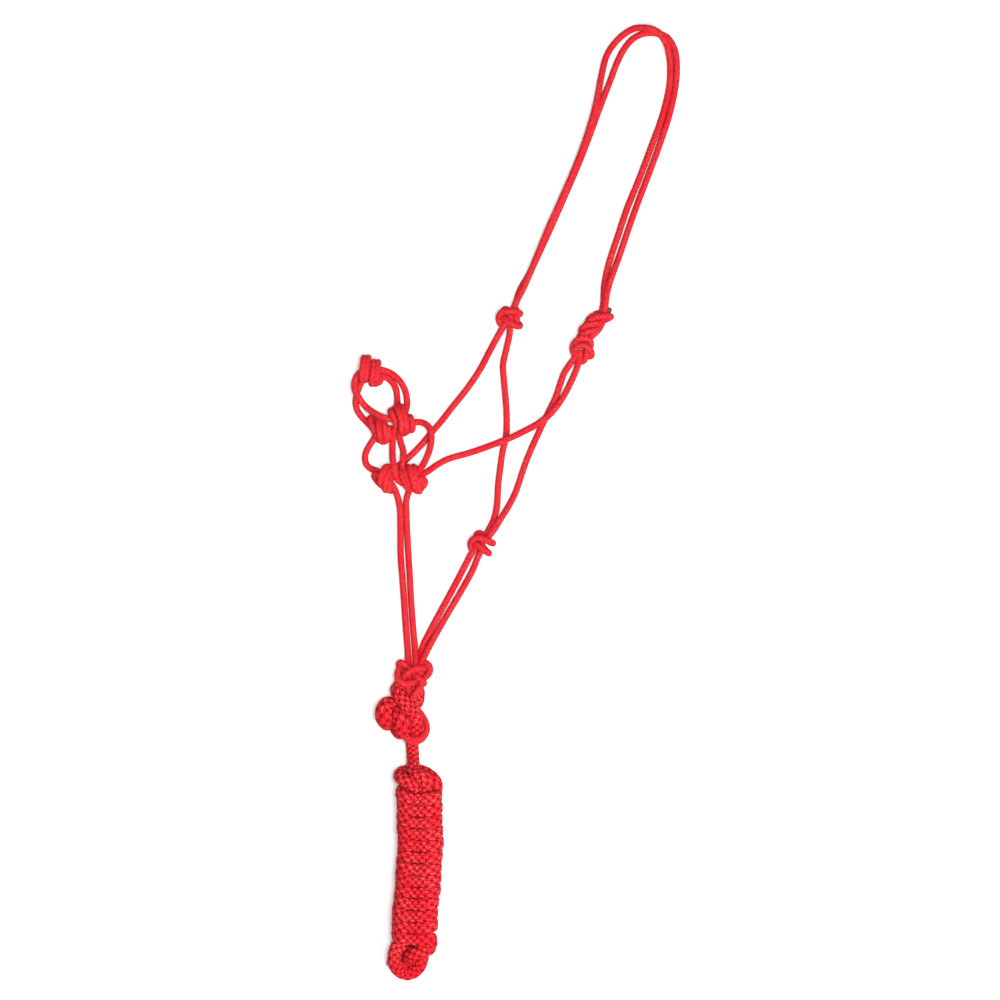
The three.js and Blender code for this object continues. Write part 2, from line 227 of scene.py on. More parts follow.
def lead_material():
    """A solid braid: oval stitches in staggered columns, with a pit at each stitch's ends."""
    nodes = Nodes("lead_stitches")
    around, along = nodes.along()
    a = nodes.math("MULTIPLY", around, float(WALES))
    column = nodes.math("FLOOR", a)
    x = nodes.math("ABSOLUTE", nodes.math("SUBTRACT", nodes.math("FRACT", a), 0.5))
    stagger = nodes.math("MULTIPLY", column, 0.5)
    slant = nodes.math("MULTIPLY", nodes.math("FRACT", a), STITCH_SLANT)
    t = nodes.math("ADD", nodes.math("DIVIDE", along, STITCH), stagger)
    t = nodes.math("FRACT", nodes.math("ADD", t, slant))
    t = nodes.math("ABSOLUTE", nodes.math("SUBTRACT", t, 0.5))
    pit = nodes.math("MULTIPLY", nodes.ramp(t, 0.2, 0.4), nodes.ramp(x, 0.4, 0.1))
    seam = nodes.ramp(x, 0.26, 0.5)
    # Painted shade: the pits and the seams darken the rope's colour.
    shade = nodes.math("ADD", pit, nodes.math("MULTIPLY", seam, STITCH_SEAM_SHADE))
    shade = nodes.math("MINIMUM", shade, STITCH_SHADE)
    around_fibres = nodes.math("MULTIPLY", around, FIBRES_ROUND)
    along_fibres = nodes.math("MULTIPLY", along, FIBRES_ALONG)
    fibres = nodes.noise(1.0, 2.0, nodes.join(around_fibres, along_fibres))
    height = nodes.math("SUBTRACT", 1.0, nodes.math("MAXIMUM", pit, seam))
    height = nodes.math("ADD", height, nodes.math("MULTIPLY", fibres, FIBRE_BUMP))
    return yarn_finish(nodes, LEAD_COLOURS, shade, height, roughness=0.62, bump_depth=0.5 * MM)


CLOT_DEPTH = 0.4 * MM       # how deep the relief of a melted end is


def melted_finish(nodes, scale, dark_to, colours, roughness):
    """What the two melted ends share: clots of two colours, shiny and dull by turns."""
    clots = nodes.noise(scale, 3.0)
    tone = nodes.mix(nodes.ramp(clots, 0.4, dark_to), *colours)
    nodes.plug(tone, nodes.shader.inputs["Base Color"])
    nodes.plug(nodes.ramp(clots, 0.3, 0.7, *roughness), nodes.shader.inputs["Roughness"])
    nodes.bump(clots, CLOT_DEPTH)
    return nodes.material


def sealed_material():
    """The blackened ends of the crown's cord."""
    colours = ((0.012, 0.004, 0.004, 1), (0.06, 0.02, 0.02, 1))
    return melted_finish(Nodes("melted_end"), 700.0, 0.65, colours, (0.28, 0.5))


def pale_tip_material():
    """The pale end of the lead rope."""
    colours = ((0.62, 0.44, 0.42, 1), (0.55, 0.12, 0.12, 1))
    return melted_finish(Nodes("pale_tip"), 600.0, 0.62, colours, (0.35, 0.6))


HALTER = halter_material()
LEAD = lead_material()
SEALED = sealed_material()
PALE_TIP = pale_tip_material()


# ---------------------------------------------------------------- the sweep of a cord

SPLINE_CUTS = 16            # straight cuts from one given point to the next
FEWEST_STEPS = 3            # of a path, however short it is
DOME = (0.42, 0.72, 0.9, 0.98)      # the rings of a rounded end, as shares of the full section
DOME_REACH = 0.55           # how far it stands out, in radii
BOXY = 4.6                  # how square a section is pressed against its neighbours; 2 is round
RELIEF_LIFT = 0.6           # how far a lying cord is lifted for its crests, as a share of its relief


def between(a, b, low, high, u):
    """What is found at u on the straight run from a, at low, to b, at high."""
    return (high - u) / (high - low) * a + (u - low) / (high - low) * b


def spline(points, step):
    """A centripetal Catmull-Rom curve through given points, cut into even steps. Metres."""
    p = np.asarray(points, float)
    p = np.vstack([2 * p[0] - p[1], p, 2 * p[-1] - p[-2]])
    t = np.concatenate([[0.0], np.cumsum(np.sqrt(np.linalg.norm(np.diff(p, axis=0), axis=1)))])
    runs = []
    for i in range(1, len(p) - 2):
        t0, t1, t2, t3 = t[i - 1:i + 3]
        u = np.linspace(t1, t2, SPLINE_CUTS, endpoint=False)[:, None]
        a1 = between(p[i - 1], p[i], t0, t1, u)
        a2 = between(p[i], p[i + 1], t1, t2, u)
        a3 = between(p[i + 1], p[i + 2], t2, t3, u)
        b1 = between(a1, a2, t0, t2, u)
        b2 = between(a2, a3, t1, t3, u)
        runs.append(between(b1, b2, t1, t2, u))
    fine = np.vstack([*runs, p[-2:-1]])
    s = np.concatenate([[0.0], np.cumsum(np.linalg.norm(np.diff(fine, axis=0), axis=1))])
    even = np.linspace(0.0, s[-1], max(FEWEST_STEPS, round(s[-1] / step)) + 1)
    return np.column_stack([np.interp(even, s, fine[:, k]) for k in range(3)])


def frames(path):
    """Two unit vectors across the path at each point, carried along it without twisting."""
    tangent = np.gradient(path, axis=0)
    tangent /= np.linalg.norm(tangent, axis=1)[:, None]
    side = np.cross(tangent[0], (0.0, 0.0, 1.0))
    sides = np.empty_like(path)
    for i, forward in enumerate(tangent):
        side = side - (side @ forward) * forward
        side = side / np.linalg.norm(side)
        sides[i] = side
    return sides, np.cross(sides, tangent)


class Weave:
    """A kind of cord: its material, its width and the relief of its surface.

    diameter and relief are in millimetres. A ring has so many sides, and rings follow each other at a step in
    metres, turned on by a twist in radians to the metre. surface gives each vertex its height, in reliefs.
    """

    def __init__(self, material, diameter, sides, step, relief, surface, twist=0.0):
        self.material, self.surface = material, surface
        self.diameter, self.relief = diameter * MM, relief * MM
        self.sides, self.step, self.twist = sides, step, twist


def diamonds(side, ring, weave):
    """Raised and sunk by turns, so that each raised vertex is the middle of one diamond of the braid."""
    return np.where((side + ring) % 2 == 0, 1.0, -1.0)


SEAM_FALL, PIT_FALL = 1.2, 1.3      # from the top of a stitch down to its seam and its pit, in reliefs


def stitches(side, ring, weave):
    """Oval stitches in staggered columns, with a pit at each stitch's ends."""
    place = (side + 0.5) / weave.sides * WALES
    x = np.abs(place % 1 - 0.5) * 2
    run = ring * weave.step / STITCH + 0.5 * np.floor(place) + STITCH_SLANT * (place % 1)
    t = np.abs(run % 1 - 0.5) * 2
    return 1.0 - SEAM_FALL * x ** 2 - PIT_FALL * t ** 3 * (1 - 0.5 * x)


CORD_SWEPT = 6.8            # the width that the halter cord is swept at
WALE_SIDES, STITCH_RINGS = 4, 6     # sides to a column of the lead rope, and rings to a stitch
MELTED = 5.2                # the width of a melted end
MELTED_SIDES = 16
HALTER_CORD = Weave(HALTER, CORD_SWEPT, 2 * HALTER_COLUMNS, HALTER_PICK / 2, relief=0.10, surface=diamonds)
LEAD_ROPE = Weave(LEAD, ROPE, WALE_SIDES * WALES, STITCH / STITCH_RINGS,
                  relief=0.5, surface=stitches, twist=11.0)
SEALED_CORD = Weave(SEALED, MELTED, MELTED_SIDES, 0.8 * MM, relief=0.12, surface=diamonds)
SEALED_TIP = Weave(PALE_TIP, MELTED, MELTED_SIDES, 0.7 * MM, relief=0.18, surface=diamonds)


def squared(outward, direction, amount):
    """The factor on the radius that presses sections square, by an amount from 0 to 1 at each ring."""
    share = np.abs(outward @ np.asarray(direction))
    rest = np.sqrt(1 - np.minimum(share, 1) ** 2)
    power = 2 + (BOXY - 2) * amount[:, None]
    return (share ** power + rest ** power) ** (-1 / power)


def section_rings(path, weave, girth, pressed):
    """The vertices round each point of a path, as rings by sides by 3."""
    across, up = frames(path)
    side, ring = np.meshgrid(np.arange(weave.sides), np.arange(len(path)))
    angle = side / weave.sides * 2 * math.pi + ring * weave.step * weave.twist
    radius = weave.diameter / 2 * girth[:, None] + weave.relief * weave.surface(side, ring, weave)
    outward = np.cos(angle)[..., None] * across[:, None, :] + np.sin(angle)[..., None] * up[:, None, :]
    if pressed is not None:
        radius = radius * squared(outward, *pressed)
    return path[:, None, :] + radius[..., None] * outward


def dome(point, inner_point, ring, radius):
    """The rings that round off an end, from its tip inwards, and the tip."""
    ahead = point - inner_point
    ahead *= radius * DOME_REACH / np.linalg.norm(ahead)
    return [point + (ring - point) * k + ahead * math.sqrt(1 - k * k) for k in DOME], point + ahead


def quad_grid(count, sides):
    """The side and the ring that each quad between the rings starts at."""
    i, j = np.meshgrid(np.arange(sides), np.arange(count - 1))
    return i.ravel(), j.ravel()


def tube_faces(count, sides):
    """Quads between rings that follow each other, and the fans that close the first and the last ring."""
    i, j = quad_grid(count, sides)
    after = (i + 1) % sides
    quads = np.column_stack([j * sides + i, (j + 1) * sides + i, (j + 1) * sides + after, j * sides + after])
    first = count * sides
    base = (count - 1) * sides
    k = np.arange(sides)
    low = np.column_stack([k, (k + 1) % sides, np.full(sides, first)])
    high = np.column_stack([base + (k + 1) % sides, base + k, np.full(sides, first + 1)])
    return quads, low, high


def tube_uvs(count, weave):
    """The place round and along the cord of each corner, in the order of tube_faces."""
    sides, rings = weave.sides, count - 2 * len(DOME)
    i, j = quad_grid(count, sides)
    k = np.arange(sides)
    near, far = np.zeros(len(DOME)), np.full(len(DOME), (rings - 1) * weave.step)
    along = np.concatenate([near, np.arange(rings) * weave.step, far])
    quads = np.column_stack([i / sides, along[j], i / sides, along[j + 1],
                             (i + 1) / sides, along[j + 1], (i + 1) / sides, along[j]])
    zero = np.zeros(sides)
    low = np.column_stack([k / sides, zero, (k + 1) / sides, zero, (k + 0.5) / sides, zero])
    high = low + np.array([0, along[-1]] * 3)
    return np.concatenate([quads.ravel(), low.ravel(), high.ravel()])


def mesh_of(name, vertices, faces, uvs, material):
    """A smooth mesh from its vertices, groups of faces with equally many corners, and the corners' uvs."""
    mesh = bpy.data.meshes.new(name)
    mesh.vertices.add(len(vertices))
    mesh.vertices.foreach_set("co", vertices.ravel())
    corners = np.concatenate([group.ravel() for group in faces])
    sizes = np.concatenate([np.full(len(group), group.shape[1]) for group in faces])
    starts = np.concatenate([[0], np.cumsum(sizes)[:-1]])
    mesh.loops.add(len(corners))
    mesh.loops.foreach_set("vertex_index", corners.astype(np.int32))
    mesh.polygons.add(len(sizes))
    mesh.polygons.foreach_set("loop_start", starts.astype(np.int32))
    mesh.polygons.foreach_set("use_smooth", np.ones(len(sizes), bool))
    mesh.uv_layers.new(name=CORD_UV).data.foreach_set("uv", uvs.astype(np.float32))
    mesh.update(calc_edges=True)
    mesh.materials.append(material)
    return mesh


def tube_mesh(name, path, weave, girth=None, pressed=None):
    """A closed mesh tube along a path, woven in relief. girth scales it along its length.

    pressed is a direction and, for each ring, how far from 0 to 1 it is squared up against its neighbours.
    """
    girth = np.ones(len(path)) if girth is None else girth
    path = path.copy()
    path[:, 2] = np.maximum(path[:, 2], weave.diameter / 2 * girth + weave.relief * RELIEF_LIFT)
    body = section_rings(path, weave, girth, pressed)
    start, start_tip = dome(path[0], path[1], body[0], weave.diameter / 2 * girth[0])
    end, end_tip = dome(path[-1], path[-2], body[-1], weave.diameter / 2 * girth[-1])
    layers = np.vstack([np.array(start), body, np.array(end)[::-1]])
    vertices = np.vstack([layers.reshape(-1, 3), start_tip, end_tip])
    faces = tube_faces(len(layers), weave.sides)
    return mesh_of(name, vertices, faces, tube_uvs(len(layers), weave), weave.material)


def add_object(name, mesh):
    piece = bpy.data.objects.new(name, mesh)
    bpy.context.scene.collection.objects.link(piece)
    return piece


def joined(name, meshes):
    """One mesh from several of one material."""
    material = meshes[0].materials[0]
    whole = bmesh.new()
    for mesh in meshes:
        whole.from_mesh(mesh)
        bpy.data.meshes.remove(mesh)
    target = bpy.data.meshes.new(name)
    whole.to_mesh(target)
    whole.free()
    target.materials.append(material)
    return target


def swept(points, weave):
    """The path of a cord through millimetre points. At one with no height it lies on the surface."""
    lowest = weave.diameter / 2 / MM
    place = [(x * MM, y * MM, (height[0] if height else lowest) * MM) for x, y, *height in points]
    path = spline(place, weave.step)
    path[:, 2] = np.maximum(path[:, 2], weave.diameter / 2)
    return path


# ---------------------------------------------------------------- the cord's routes

# Each stretch of the halter cord, from inside the knot at one end to inside the knot at the other.
ROUTES = {
    "crown_strand_a": [
        (-2, 201, 10), (2.4, 214.2, 10), (8.6, 226.4, 10), (16.4, 243.6, 10), (35, 289, 10),
        (50.4, 323.6, 10), (66, 359.8, 10), (76.8, 389.2, 10), (83.6, 411.8, 9.6), (88.6, 434, 7.4),
        (92, 453, 4.6), (98, 475.6), (106.8, 489.2), (117.4, 499, 3.4), (127, 504, 4.4), (136, 504.6, 6.4),
        (144, 503, 9.6), (152.4, 499, 10.4), (158, 492.2, 10.2), (161.8, 485, 8.8), (164.4, 474, 4.6),
        (165.4, 462), (164.4, 443), (157, 411.4), (143.8, 375), (131.4, 342.2), (119.6, 313.4),
        (110, 284.8), (102.2, 261.6), (97.6, 244.8), (95, 229), (94.2, 212, 3.6), (91, 198, 6)],
    "crown_strand_b": [
        (-4, 199, 5), (1.6, 214.2), (5.8, 226.4), (15.6, 243.6), (36.8, 288.8), (52.2, 323.6), (67.8, 360),
        (78.6, 387.4), (87.6, 412), (95.8, 433.8), (101.6, 448.6), (109, 468), (116.4, 482.4), (126, 493.4),
        (137.8, 498.8), (150.2, 499), (162.4, 494.4), (170.2, 481.2), (172.4, 463), (171, 443),
        (164.2, 411.8), (152.2, 375.6), (140.6, 344.4), (130, 316.6), (120.4, 289.6), (114.4, 271.6, 3.4),
        (108.6, 255.4, 5.4), (102.8, 239.6, 8.6), (98.6, 226, 10.2), (96.4, 212, 10.6), (95, 197, 10.6)],
    "left_cheekpiece": [
        (-8, 194, 8), (-14, 184, 4.6), (-24, 166), (-37, 141.4), (-50.8, 121.2), (-66.8, 101.2), (-77.8, 87),
        (-88, 75.2), (-100, 61), (-111.4, 49.6), (-121, 41.5), (-129, 35, 4.6), (-137, 28, 9)],
    "left_throatlatch": [
        (-5, 192, 8), (-5, 181, 4.4), (-8, 166), (-12, 148), (-11, 129), (-9, 107), (-8.2, 86),
        (-9.4, 68), (-12.4, 56), (-15, 38), (-17.2, 20), (-18.4, 0), (-21.4, -15.4), (-27, -27.4, 4.4),
        (-33, -38, 8)],
    "right_throatlatch": [
        (67, 158, 8), (59, 148, 4.4), (52.6, 138.2), (48.2, 126.2), (43.4, 112), (36.6, 98), (30.6, 85.6),
        (25.4, 74.4), (19.4, 61.4), (13.2, 46.6), (8.2, 32.6), (1.4, 12.4), (-6.6, -3.6, 4.4),
        (-14.8, -16.6, 8), (-23, -29.6, 10.4), (-32, -40, 10)],
    "right_cheekpiece": [
        (69.4, 161, 10), (68.6, 152, 8), (65, 140.4, 4.4), (59.8, 128.6, 3.8), (52.6, 114.6, 5.2),
        (44.4, 102.4, 7.8), (35.4, 92.4, 10), (25.6, 85.2, 10.2), (14.2, 78.6, 7.4), (2.6, 72.8, 8),
        (-7.6, 68.2, 10.2), (-18, 64.2, 8.6), (-32, 59), (-50, 53), (-69.8, 47.4), (-82, 41),
        (-92, 34, 4.6), (-102, 28, 9)],
    "nose_side_left": [
        (-146, 74, 9), (-150, 67, 5.6), (-154.4, 60.6), (-157.8, 53.8), (-158.6, 47), (-157.4, 41.8),
        (-154.4, 38.2), (-150, 36, 4), (-145.4, 34.4, 6.6), (-140.6, 29.6, 9)],
    "nose_middle_a": [
        (-122, 86, 10), (-127.2, 78, 8.4), (-129.2, 68.6, 5.4), (-129.6, 57, 5.4), (-129, 46.5, 9.6),
        (-127.4, 38.4, 11.8), (-125.8, 31, 11.8), (-123.4, 24.4, 11), (-116, 20.6, 9)],
    "nose_middle_b": [
        (-119, 84, 10), (-122, 74, 8), (-120.8, 65.4, 5), (-118, 56, 6.4), (-117.9, 48, 9.6),
        (-118.4, 40, 10.8), (-115.4, 32, 10), (-108, 27, 9)],
    "nose_side_right": [
        (-116, 87, 9), (-108, 86.2, 6), (-99, 85.9, 5), (-92.2, 82.6, 8), (-88.6, 76, 10.4),
        (-88, 67.5, 9.6), (-90, 57, 6), (-94.2, 46.5, 5.6), (-99.4, 37.5, 8), (-105, 30, 10.5)],
    "nose_ring_low": [
        (-154, 136, 7), (-160, 131.6, 4.4), (-164.2, 124.8), (-167, 117), (-168.6, 108), (-166.8, 99),
        (-161.6, 91), (-155, 84.6, 5), (-149, 78, 8.6)],
    "nose_ring_left": [
        (-155, 141, 10), (-161, 140, 9.6), (-166.2, 136.2, 9.6), (-169.4, 129, 10), (-169, 120.4, 10.4),
        (-164.8, 112.2, 10), (-159, 104, 7.4), (-152, 98, 8.6), (-144.2, 93.4, 10.6), (-134.6, 90, 11),
        (-125, 88.8, 11)],
    "nose_ring_outer": [
        (-150, 140.6, 9), (-142, 141.6, 6.4), (-134.6, 139.8, 3.6), (-126.9, 135.2), (-120.2, 128),
        (-115.8, 119.2), (-114, 110.6), (-114, 104, 4.4), (-115.6, 97.5, 7.6), (-118, 91, 9.6)],
    "nose_ring_inner": [
        (-150, 136, 9), (-142, 135, 6.4), (-135.4, 133.2), (-129.6, 128.4), (-125.9, 121.4), (-124.6, 114),
        (-124.4, 106, 5), (-123.6, 98, 8.6), (-121.5, 90.5, 10)],
    "chin_strand_left": [
        (-134, 25, 9), (-127.4, 16, 6), (-123.8, 6), (-121.4, -7), (-121, -27), (-120.8, -55),
        (-118.8, -81), (-116.8, -109), (-115, -135), (-113.4, -155, 4.6), (-112.6, -170, 8.4),
        (-111, -178, 10)],
    "chin_strand_right": [
        (-109, 21, 9), (-112.2, 12, 6), (-114.8, 3), (-114.8, -8), (-114, -27), (-112.8, -50),
        (-111.2, -75), (-109.8, -101), (-107.8, -129), (-105.8, -152, 5), (-105, -168, 10),
        (-105, -178, 11)],
    "jaw_strand_left": [
        (-37, -43, 9), (-45, -52, 5), (-52, -65), (-65.6, -91.2), (-78.4, -114.6), (-90, -136.4),
        (-97.8, -153), (-100.4, -167, 3.8), (-103, -176, 6)],
    "jaw_strand_right": [
        (-33, -45, 9), (-38.5, -56.5, 5), (-45, -72), (-59.5, -98), (-72, -119), (-83.4, -139, 4.6),
        (-92, -155, 8.2), (-98, -167, 10.2), (-102, -176, 10)],
}


# ---------------------------------------------------------------- the cord's stretches


def fold(body_a, body_b, pivot, across, start, end):
    """The hinge between two bodies that a piece lies across.

    pivot is a point on the hinge. across is the level direction at right angles to the hinge, from the first
    body to the second, and start and end are distances from the pivot along it. All in metres.
    """
    middle = pivot[0] * across[0] + pivot[1] * across[1]
    return body_a, body_b, across, middle + start, middle + end


def bend(piece, body_a, body_b, across, start, end):
    """Bakes a piece's transform into its mesh. body_a, body_b, across, start and end are not used."""
    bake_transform(piece)


CROWN_BEND = fold("cheeks", "crown", (-0.005, 0.197), (0.06569, 0.99784, 0.0), -0.020, 0.026)
NOSE_BEND = fold("cheeks", "nose_sides", (-0.1235, 0.025), (0.0, 1.0, 0.0), 0.002, 0.020)
FRONT_BEND = fold("nose_sides", "nose_front", (-0.133, 0.0815), (-0.4061, 0.9138, 0.0), 0.002, 0.020)
JAW_BEND = fold("cheeks", "jaw", (-0.118, -0.003), (-0.56607, -0.82435, 0.0), -0.012, 0.012)
# What each stretch is tied to: a body, or the hinge between two, whose stretches are left untied.
HELD_BY = {
    CROWN_BEND: ("crown_strand_a", "crown_strand_b"),
    "cheeks": ("left_cheekpiece", "left_throatlatch", "right_throatlatch", "right_cheekpiece"),
    NOSE_BEND: ("nose_side_left", "nose_middle_a", "nose_middle_b", "nose_side_right"),
    FRONT_BEND: ("nose_ring_low", "nose_ring_left", "nose_ring_outer", "nose_ring_inner"),
    JAW_BEND: ("chin_strand_left", "chin_strand_right", "jaw_strand_left", "jaw_strand_right"),
}


def hold(piece, body):
    """Ties a piece to its one body or, at a hinge between two, only bakes its transform."""
    if isinstance(body, str):
        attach(piece, body)
    else:
        bend(piece, *body)


def stretch(node, points, body):
    path = swept(points, HALTER_CORD)
    piece = add_object(node + "_cord", tube_mesh(node + "_cord", path, HALTER_CORD))
    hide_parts(node)
    hold(piece, body)


for body, nodes in HELD_BY.items():
    for node in nodes:
        stretch(node, ROUTES[node], body)


# ---------------------------------------------------------------- knots

# The centre knot of the noseband: a doubled cord, wound in two bands that lie side by side round its core.
BANDS_AT = (-153.1, 140.4)
BANDS_HEIGHT = 21.5
BANDS_REACH = 14.8          # half the length of the wraps
BANDS_LEAN = -6             # of the wraps from straight across the core, in degrees
CORD_PITCH = 4.5            # between the middles of the two cords of a band
BANDS_GAP = 1.6             # between the bands
BANDS_DRIFT = 4.4           # how far the second band lies further down
WIND_FROM, WIND_TO, WIND_STEP = -100, 620, 20       # degrees round the core
CROSS_FROM, CROSS_OVER = 200, 140       # degrees where it starts for the second band, and that this takes
TUCK, TUCK_OVER = 0.45, 110             # how far out its ends lie, and the degrees in which that grows by 1


def bands():
    """The two cords of the centre knot, from the first band to the second."""
    low = CORD / 2
    middle = BANDS_HEIGHT / 2
    rise, half = middle - low, BANDS_REACH - low
    slope = math.tan(math.radians(BANDS_LEAN))
    strands = []
    for side in (-0.5, 0.5):
        strand = []
        for degrees in range(WIND_FROM, WIND_TO + 1, WIND_STEP):
            angle = math.radians(degrees)
            over = min(1.0, max(0.0, (degrees - CROSS_FROM) / CROSS_OVER))
            part = over * over * (3 - 2 * over) - 0.5
            tuck = min(1.0, TUCK + (degrees - WIND_FROM) / TUCK_OVER, TUCK + (WIND_TO - degrees) / TUCK_OVER)
            y = half * tuck * math.cos(angle)
            x = part * (2 * CORD_PITCH + BANDS_GAP) + side * CORD_PITCH - slope * y
            z = middle + rise * tuck * math.sin(angle)
            strand.append((BANDS_AT[0] + x, BANDS_AT[1] + y - BANDS_DRIFT * part, max(z, low)))
        strands.append(strand)
    return strands


# The other knots, strand by strand.
NOSE_RIGHT_STRANDS = [
    [(-119, 89, 8), (-124, 95, 4.6), (-129, 99, 6), (-131.4, 97.8, 10.6), (-129.4, 93.8, 13.8),
     (-126.8, 88.6, 14.4), (-125.4, 83.4, 12.4), (-125.6, 79.4, 8.6), (-122.4, 76, 4.6), (-117, 80, 3.6),
     (-115.6, 92, 3.8), (-118.6, 101.4, 5.6), (-121, 102.6, 10.6), (-118.8, 98.4, 16.2), (-116, 91.6, 18.6),
     (-114.6, 84.4, 18), (-114.4, 77.8, 13.6), (-115.4, 75.4, 8), (-119, 79, 4.4)],
    [(-120, 88, 9), (-124, 97, 4.4), (-126, 101.4, 8), (-125.2, 101.4, 13), (-122.8, 96, 17.4),
     (-120.4, 89, 18.9), (-119.4, 81.6, 17.4), (-120, 76, 12.6), (-119, 74, 6.8), (-113, 77, 3.8),
     (-109.4, 86, 4.2), (-110.6, 91.6, 8.2), (-110.2, 90, 12.6), (-108.4, 85.6, 14.2), (-107.8, 80.6, 13),
     (-109, 77.6, 8.8), (-112, 79, 5)],
]
NOSE_LEFT_STRANDS = [
    [(-140, 76, 9), (-146, 86, 5), (-151, 90.6, 5.6), (-153.4, 89.6, 9.6), (-152, 84.6, 12.6),
     (-149.4, 79.4, 13), (-147.2, 73.6, 11), (-145.6, 68.4, 6.6), (-141, 67, 4), (-137, 74, 3.6),
     (-137.4, 83, 4.6), (-138.6, 85, 7), (-138.4, 82, 9.4), (-137.6, 76.6, 10), (-136.8, 70.8, 8.8),
     (-136.4, 67.4, 6), (-136, 69, 4)],
    [(-141, 75, 8), (-145.4, 84, 4), (-145, 88.4, 8), (-144.4, 86.4, 13.6), (-143.6, 81, 17.4),
     (-142.8, 74.6, 17.8), (-141.8, 68.6, 14.6), (-140.8, 65.8, 9.4), (-137, 66.4, 4.6), (-132.4, 75, 3.8),
     (-132.6, 80, 6), (-133.6, 78.6, 8.4), (-133.4, 74.6, 9), (-132.8, 70.8, 7.8), (-134, 68.5, 5)],
]
SIDE_LEFT_STRANDS = [
    [(-138, 26, 9), (-134, 34, 5), (-133.6, 38.6, 8.4), (-136.4, 38.2, 13), (-139.6, 33, 17),
     (-141.6, 26.4, 17.8), (-142, 21.6, 15), (-141, 19.4, 9.6), (-136, 20, 4.6), (-131.6, 25, 3.6),
     (-129.6, 30, 6.4), (-130.6, 28.8, 11.6), (-132, 23.6, 15.4), (-132.8, 17.8, 15), (-132.4, 14, 10.6),
     (-130.6, 14, 5.6), (-130, 19, 3.8)],
    [(-139, 25, 8), (-134, 33, 4), (-131, 36.4, 8), (-133, 34, 12.4), (-135.2, 28.6, 15.4),
     (-136.4, 22.4, 15.4), (-136.8, 16.6, 12.4), (-136.6, 14, 7.6), (-139.6, 18.6, 4), (-145, 23, 3.8),
     (-148, 27.4, 5.6), (-148, 30.8, 9), (-144.6, 30.4, 11), (-141, 28, 10)],
]
SIDE_RIGHT_STRANDS = [
    [(-108, 25, 9), (-114, 34, 5), (-119.6, 35.6, 8), (-120, 31.6, 12.2), (-117.6, 25, 14.4),
     (-114.4, 18.6, 12.6), (-111, 15, 7.6), (-106.6, 17, 4), (-104, 28, 3.6), (-104.8, 36.6, 5.6),
     (-106.9, 39, 10.4), (-106.6, 35, 15.8), (-104.8, 28, 18.4), (-102.8, 20.6, 17.8), (-101, 14.8, 13.6),
     (-100.6, 12.8, 8), (-101.6, 17, 4)],
    [(-109, 25, 8), (-112, 35, 4.6), (-113, 38.6, 9.4), (-111.4, 37.4, 14.8), (-109.4, 30.6, 18.2),
     (-107, 22.6, 18.4), (-104.9, 15.6, 14.6), (-103.4, 13.2, 9), (-100, 15, 4.6), (-96.4, 19.4, 5),
     (-94.6, 22.4, 7.4), (-96, 25.2, 10), (-100, 26, 11.4), (-104, 25, 12)],
    [(-112, 30, 6), (-116.2, 36.6, 8.4), (-116, 33.6, 12.8), (-114.2, 27.6, 14.8), (-111.8, 21.4, 13.8),
     (-109.4, 16.6, 9.6), (-107, 19, 5)],
    [(-104, 21.4, 8), (-99.4, 21, 9.4), (-95.6, 20.8, 8), (-97, 18.4, 5), (-101, 18, 4)],
]
NOSE_CENTRE_TAIL = [
    [(-149, 136.4, 6), (-144, 135, 8.4), (-142.2, 131.4, 9), (-143.6, 128.4, 6.6), (-148, 129, 4)],
]
LEFT_CHEEK_STRANDS = [
    [(-4, 197, 9), (-10, 192, 5), (-14.4, 190.6, 4.4), (-16.2, 193.6, 6.2), (-16.4, 198.2, 10.4),
     (-13.6, 202, 14.4), (-8.4, 203.3, 16.6), (-2, 203.3, 17), (3, 202.7, 15), (5.9, 201.6, 10.8),
     (5.2, 200.8, 6.2), (1, 201, 3.8), (-5, 203.4, 3.6), (-9.3, 206.3, 4.8), (-12.4, 203.6, 4),
     (-10, 198, 3.6), (-4, 195, 4)],
    [(-2, 199, 6), (-9, 200, 7), (-13, 198.6, 9.4), (-11.8, 196.2, 12.6), (-8.5, 194, 15.4),
     (-3.6, 190.4, 16.8), (1.8, 187.6, 15.6), (5.4, 187.8, 11.4), (5, 190.2, 6.4), (0, 193, 3.8),
     (-7, 195, 3.6)],
    [(1.6, 206, 7), (2.2, 201.6, 11), (2.6, 197, 12.2), (2.2, 192.4, 10.6), (0.4, 188.6, 7)],
    [(-5, 203, 7), (-4.6, 198.6, 11.4), (-3.6, 194, 11.6), (-4, 189.6, 7)],
]
THROAT_STRANDS = [
    [(-34, -42, 9), (-40, -47, 5.2), (-44.4, -48.6, 4.6), (-46.3, -45.4, 6.6), (-46, -40.8, 10.6),
     (-43, -37.4, 14.4), (-38, -36.4, 16.8), (-31.6, -38, 17.2), (-26, -40.1, 15.4), (-22.8, -41.8, 11),
     (-23.6, -42.2, 6.4), (-28, -40, 3.8), (-33, -34.6, 4.6), (-37, -31.4, 7.2), (-40.3, -33.4, 6.4),
     (-39, -38, 4)],
    [(-33, -41, 6), (-39, -40.5, 7.6), (-42.4, -41.2, 10.4), (-41, -43.2, 13.2), (-37.9, -44.9, 15.6),
     (-33.5, -48.2, 16.4), (-29.5, -51.4, 14.4), (-27, -52.8, 10), (-29, -51, 5.4), (-34, -46, 3.8)],
]
